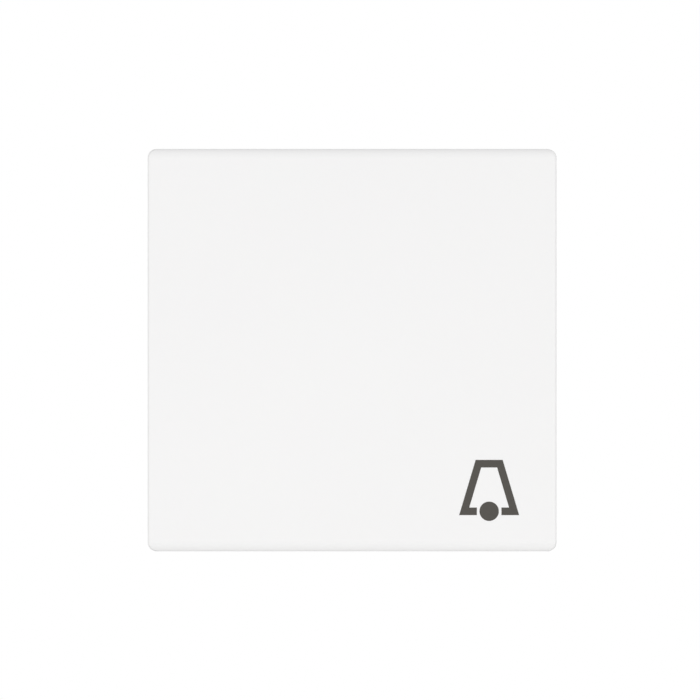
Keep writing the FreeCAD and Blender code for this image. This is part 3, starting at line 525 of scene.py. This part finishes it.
def shank_rings(middle, back, end):
    start = back + NECK_LENGTH
    length = end - start
    rows = round(length / THREAD_PITCH * ROWS_PER_PITCH)
    plain = [ROOT_RADIUS] * AROUND
    rings = [ring_round(middle, y, plain) for y in (back + SHOULDER, start - NECK_RING)]
    for row in range(rows + 1):
        along = start + length * row / rows
        fade = min(row / ROWS_PER_PITCH, (rows - row) / ROWS_PER_PITCH, 1)
        heights = [thread_radius(along, step / AROUND) - ROOT_RADIUS for step in range(AROUND)]
        rings.append(ring_round(middle, along, [ROOT_RADIUS + fade * height for height in heights]))
    return rings


print("a screw has", AROUND, "points in a ring and", ROWS_PER_PITCH, "rings in a pitch")

# %% [markdown]
# ## The slot, and the two screws
# The head's slot takes a flat screwdriver. Its corners could be modelled point by point, but a
# boolean cuts it cleanly: a bar wider than the head is centred on the head's front, so half its
# height goes in. The result is kept as the mesh, and the bar is deleted. Each screw turns on the
# body that has the same name as its node.

# %% Slot and screws
SLOT_DEPTH = 1.0 * MM
SLOT_WIDTH = 0.8 * MM
BAR_LENGTH = 3
ring_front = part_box("support_ring")[0].y


def slot_bar(name, middle, front, head_radius):
    mesh = bpy.data.meshes.new(name)
    bar = bmesh.new()
    place = Matrix.Translation((middle.x, front, middle.z))
    size = Matrix.Diagonal((head_radius * BAR_LENGTH, SLOT_DEPTH * 2, SLOT_WIDTH, 1))
    bmesh.ops.create_cube(bar, size=1, matrix=place @ size)
    bar.to_mesh(mesh)
    bar.free()
    return mesh


def carve(piece, cutter_mesh):
    """Take the cutter's form out of the piece, and keep the result as its mesh."""
    cutter = bpy.data.objects.new(cutter_mesh.name, cutter_mesh)
    bpy.context.scene.collection.objects.link(cutter)
    cut = piece.modifiers.new("cut", "BOOLEAN")
    cut.operation = "DIFFERENCE"
    cut.object = cutter
    bpy.context.view_layer.update()
    result = piece.evaluated_get(bpy.context.evaluated_depsgraph_get())
    piece.data = bpy.data.meshes.new_from_object(result)
    piece.modifiers.clear()
    bpy.data.objects.remove(cutter)


def threaded_screw(node):
    low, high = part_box(node)
    middle = (low + high) / 2
    head_radius = (high.x - low.x) / 2
    rings = head_rings(middle, low.y, ring_front, head_radius)
    rings += shank_rings(middle, ring_front, high.y)
    name = f"{node}_threaded"
    screw = show(name, skin(name, rings), node)
    carve(screw, slot_bar(f"{name}_slot", middle, low.y, head_radius))
    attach(screw, node)
    return screw


for side in ("right", "left"):
    screw = threaded_screw(f"claw_screw_{side}")
    print(screw.name, len(screw.data.polygons), "faces")

# %% [markdown]
# ## Round wire springs
# A compression spring has a closed coil at each end and open coils between. The Screw modifier winds
# an even helix, but here the centre line's rise is slow in the end coils and faster in the open
# ones, so the helix is worked out point by point, and a round section follows it.

# %% Wound wire
WIRE_RADIUS = 0.25 * MM
WIRE_SIDES = 10
STEPS_PER_TURN = 36
END_COILS = 2
SPRING_AXIS = Vector((0, 1, 0))


def wound_wire(low, high, open_turns):
    """Rings of a round wire that fills a box, with a closed coil at each end."""
    middle = (low + high) / 2
    coil_radius = (high.x - low.x) / 2 - WIRE_RADIUS
    closed_pitch = 2 * WIRE_RADIUS
    span = high.y - low.y - 2 * WIRE_RADIUS
    open_pitch = (span - END_COILS * closed_pitch) / open_turns
    turns = open_turns + END_COILS
    section = [2 * math.pi * side / WIRE_SIDES for side in range(WIRE_SIDES)]
    rings = []
    for step in range(turns * STEPS_PER_TURN + 1):
        turn = step / STEPS_PER_TURN
        closed = min(turn, 1) + max(turn - (turns - 1), 0)
        along = low.y + WIRE_RADIUS + closed * closed_pitch + (turn - closed) * open_pitch
        angle = 2 * math.pi * turn
        outward = Vector((math.sin(angle), 0, math.cos(angle)))
        centre = Vector((middle.x, along, middle.z)) + outward * coil_radius
        spokes = [outward * math.cos(a) + SPRING_AXIS * math.sin(a) for a in section]
        rings.append([centre + spoke * WIRE_RADIUS for spoke in spokes])
    return rings


print(f"wire {2 * WIRE_RADIUS / MM:.1f} mm thick, {STEPS_PER_TURN} rings in a turn")

# %% [markdown]
# ## The springs in place
# Both springs stand on a seat that doesn't move, and a piece that turns presses their other end. Each
# spring is wound to fill the box of its node and hangs on the insert's body, with a mesh of its own.


def wire_spring(node, open_turns):
    low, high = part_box(node)
    name = f"{node}_wound"
    spring = show(name, skin(name, wound_wire(low, high, open_turns)), node, smooth_below=60)
    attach(spring, "insert")
    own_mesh(spring)


wire_spring("return_spring", open_turns=3)
wire_spring("contact_spring", open_turns=5)

# %% [markdown]
# ## Bent clamp springs
# Each wire is held by a leaf of spring strip. One leg stands fixed by the middle, and the free leg
# leans outwards on the brass. A press has folded the strip, so its bends are arcs. They could be
# bevels on a sharp fold, but a line with arcs that a flat section follows bends the inside and the
# outside of the strip alike.

# %% A strip along a bent line
LEAF_THICK = 0.36 * MM
LEAF_FLAT = 1.2 * MM
LEAF_LEG = 6.0 * MM
LEAF_BEND = 0.55 * MM
BEND_STEPS = 6


def rounded_path(corners, radius):
    """Points along straight runs whose inner corners are arcs."""
    path = [corners[0]]
    for before, corner, after in zip(corners, corners[1:], corners[2:]):
        back = (before - corner).normalized()
        on = (after - corner).normalized()
        half = back.angle(on) / 2
        reach = radius / math.tan(half)
        centre = corner + (back + on).normalized() * radius / math.sin(half)
        first = (corner + back * reach - centre).normalized()
        last = (corner + on * reach - centre).normalized()
        shares = [step / BEND_STEPS for step in range(BEND_STEPS + 1)]
        path += [centre + first.slerp(last, share) * radius for share in shares]
    path.append(corners[-1])
    return path


def strip_rings(path, side, bottom, top):
    """A flat section at each point of the path, which is drawn for the right-hand side."""
    rings = []
    for step, point in enumerate(path):
        before = path[max(step - 1, 0)]
        after = path[min(step + 1, len(path) - 1)]
        aside = (after - before).normalized().orthogonal() * LEAF_THICK / 2
        inner, outer = point + aside, point - aside
        edges = ((inner, bottom), (inner, top), (outer, top), (outer, bottom))
        rings.append([Vector((edge.x * side, edge.y, z)) for edge, z in edges])
    return rings


print(f"strip {LEAF_THICK / MM:.2f} mm thick, bent at {LEAF_BEND / MM:.2f} mm")

# %% [markdown]
# ## The clamp springs
# A release button pushes both free legs of its row inwards, which lets the wires go. The leaf is
# small and stands deep in its chamber. Here each leaf keeps its resting bend, hangs on the insert's
# body and has a mesh of its own.

# %% Clamp springs
SIDES = {"right": 1, "left": -1}


def bent_leaf(node, side):
    low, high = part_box(node)
    fixed = min(low.x * side, high.x * side)
    tip = max(low.x * side, high.x * side)
    half = LEAF_THICK / 2
    corners = [
        Vector((fixed + half, low.y)),
        Vector((fixed + half, high.y - half)),
        Vector((fixed + LEAF_FLAT, high.y - half)),
        Vector((tip - half, high.y - LEAF_LEG - half)),
    ]
    rings = strip_rings(rounded_path(corners, LEAF_BEND), side, low.z, high.z)
    name = f"{node}_bent"
    leaf = show(name, skin(name, rings), node)
    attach(leaf, "insert")
    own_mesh(leaf)
    return leaf


for level in ("upper", "lower"):
    for side_name, side in SIDES.items():
        leaf = bent_leaf(f"clamp_spring_{level}_{side_name}", side)
        print(leaf.name, len(leaf.data.polygons), "faces")

# %% [markdown]
# ## A white ground
# The photograph's ground is pure white, and the plate on it is a little greyer. A white world that
# also lights the plate would wash it out. So the world is white only where it is seen, straight, in
# gloss or through something clear, and the light that it gives is weaker.

# %% World
WORLD_LIGHT = 0.44
WHITE = (1, 1, 1, 1)
SEEN_RAYS = ("Is Camera Ray", "Is Glossy Ray", "Is Transmission Ray")


def where_seen(recipe):
    """1 where the camera sees it, straight, in gloss or through something clear, and 0 elsewhere."""
    straight, mirrored, through = (
        recipe.node("ShaderNodeLightPath", output=ray) for ray in SEEN_RAYS
    )
    return recipe.maths("MAXIMUM", recipe.maths("MAXIMUM", straight, mirrored), through)


world = bpy.data.worlds.new("world")
bpy.context.scene.world = world
sky = Recipe(world)
weak = sky.node("ShaderNodeBackground", sockets={"Color": WHITE, "Strength": WORLD_LIGHT})
white = sky.node("ShaderNodeBackground", sockets={"Color": WHITE, "Strength": 1.0})
choice = sky.node("ShaderNodeMixShader", sockets={0: where_seen(sky), 1: weak, 2: white})
sky.node("ShaderNodeOutputWorld", sockets={"Surface": choice})
print("world lights at", WORLD_LIGHT, "and shows at 1")

# %% [markdown]
# ## Lamps
# A large soft lamp in front, a little to the left, lights the face, so the rolled edges of the plate,
# which turn away from it, darken as they do in the photograph. A weak one on the right keeps that
# side from going grey, and one behind lights the back. The first two could show as bright discs in
# the gloss, so reflections leave them out.

# %% Lamps
LAMP_AIM = Vector((0, 0, 0))


def lamp(name, place, size, power, mirrored):
    """A round area lamp that is aimed at the part."""
    data = bpy.data.lights.new(name, "AREA")
    data.shape = "DISK"
    data.size = size
    data.energy = power
    made = bpy.data.objects.new(name, data)
    bpy.context.scene.collection.objects.link(made)
    made.location = place
    made.rotation_euler = (LAMP_AIM - Vector(place)).to_track_quat("-Z", "Y").to_euler()
    made.visible_glossy = mirrored
    print(name, power, "W")


lamp("front_lamp", place=(-0.3, -1.15, 0.0), size=0.5, power=7.3, mirrored=False)
lamp("side_lamp", place=(1.0, -0.45, 0.0), size=0.5, power=2.2, mirrored=False)
lamp("back_lamp", place=(0.5, 0.9, 0.7), size=0.8, power=2.6, mirrored=True)

# %% [markdown]
# ## The floor
# The part sits in a wall in use. Here it hangs free above a small pale floor, far enough down that
# the straight-on view doesn't show it, and the other views get a soft shadow. A floor lit only by
# these lamps looks dull beside the white world. Stronger lamps would bleach the plate, so a share of
# white glow is mixed in only where the floor is seen, which here takes in its reflection in gloss.

# %% Floor
FLOOR_DROP = 0.078
FLOOR_HALF = 0.25
FLOOR_GLOW = 0.45
FLOOR_GREY = (0.9, 0.9, 0.89, 1)
FLOOR_DULLNESS = 0.9
CORNER_SIGNS = ((-1, -1), (1, -1), (1, 1), (-1, 1))

floor_mesh = bpy.data.meshes.new("floor")
corners = [(x * FLOOR_HALF, y * FLOOR_HALF, -FLOOR_DROP) for x, y in CORNER_SIGNS]
floor_mesh.from_pydata(corners, [], [(0, 1, 2, 3)])
floor = bpy.data.objects.new("floor", floor_mesh)
bpy.context.scene.collection.objects.link(floor)

ground = Recipe(bpy.data.materials.new("floor"))
paint = {"Base Color": FLOOR_GREY, "Roughness": FLOOR_DULLNESS}
matte = ground.node("ShaderNodeBsdfPrincipled", sockets=paint)
glow = ground.node("ShaderNodeEmission", sockets={"Color": WHITE, "Strength": 1.0})
share = where_seen(ground) * FLOOR_GLOW
mixed = ground.node("ShaderNodeMixShader", sockets={0: share, 1: matte, 2: glow})
ground.node("ShaderNodeOutputMaterial", sockets={"Surface": mixed})
floor_mesh.materials.append(ground.owner)
print(f"floor {FLOOR_DROP / MM:.0f} mm below the part's middle")

# %% [markdown]
# ## Colours
# The Standard view shows a colour about as it is written, where a filmic view would grey the white.

# %% Colour settings
bpy.context.scene.view_settings.view_transform = "Standard"
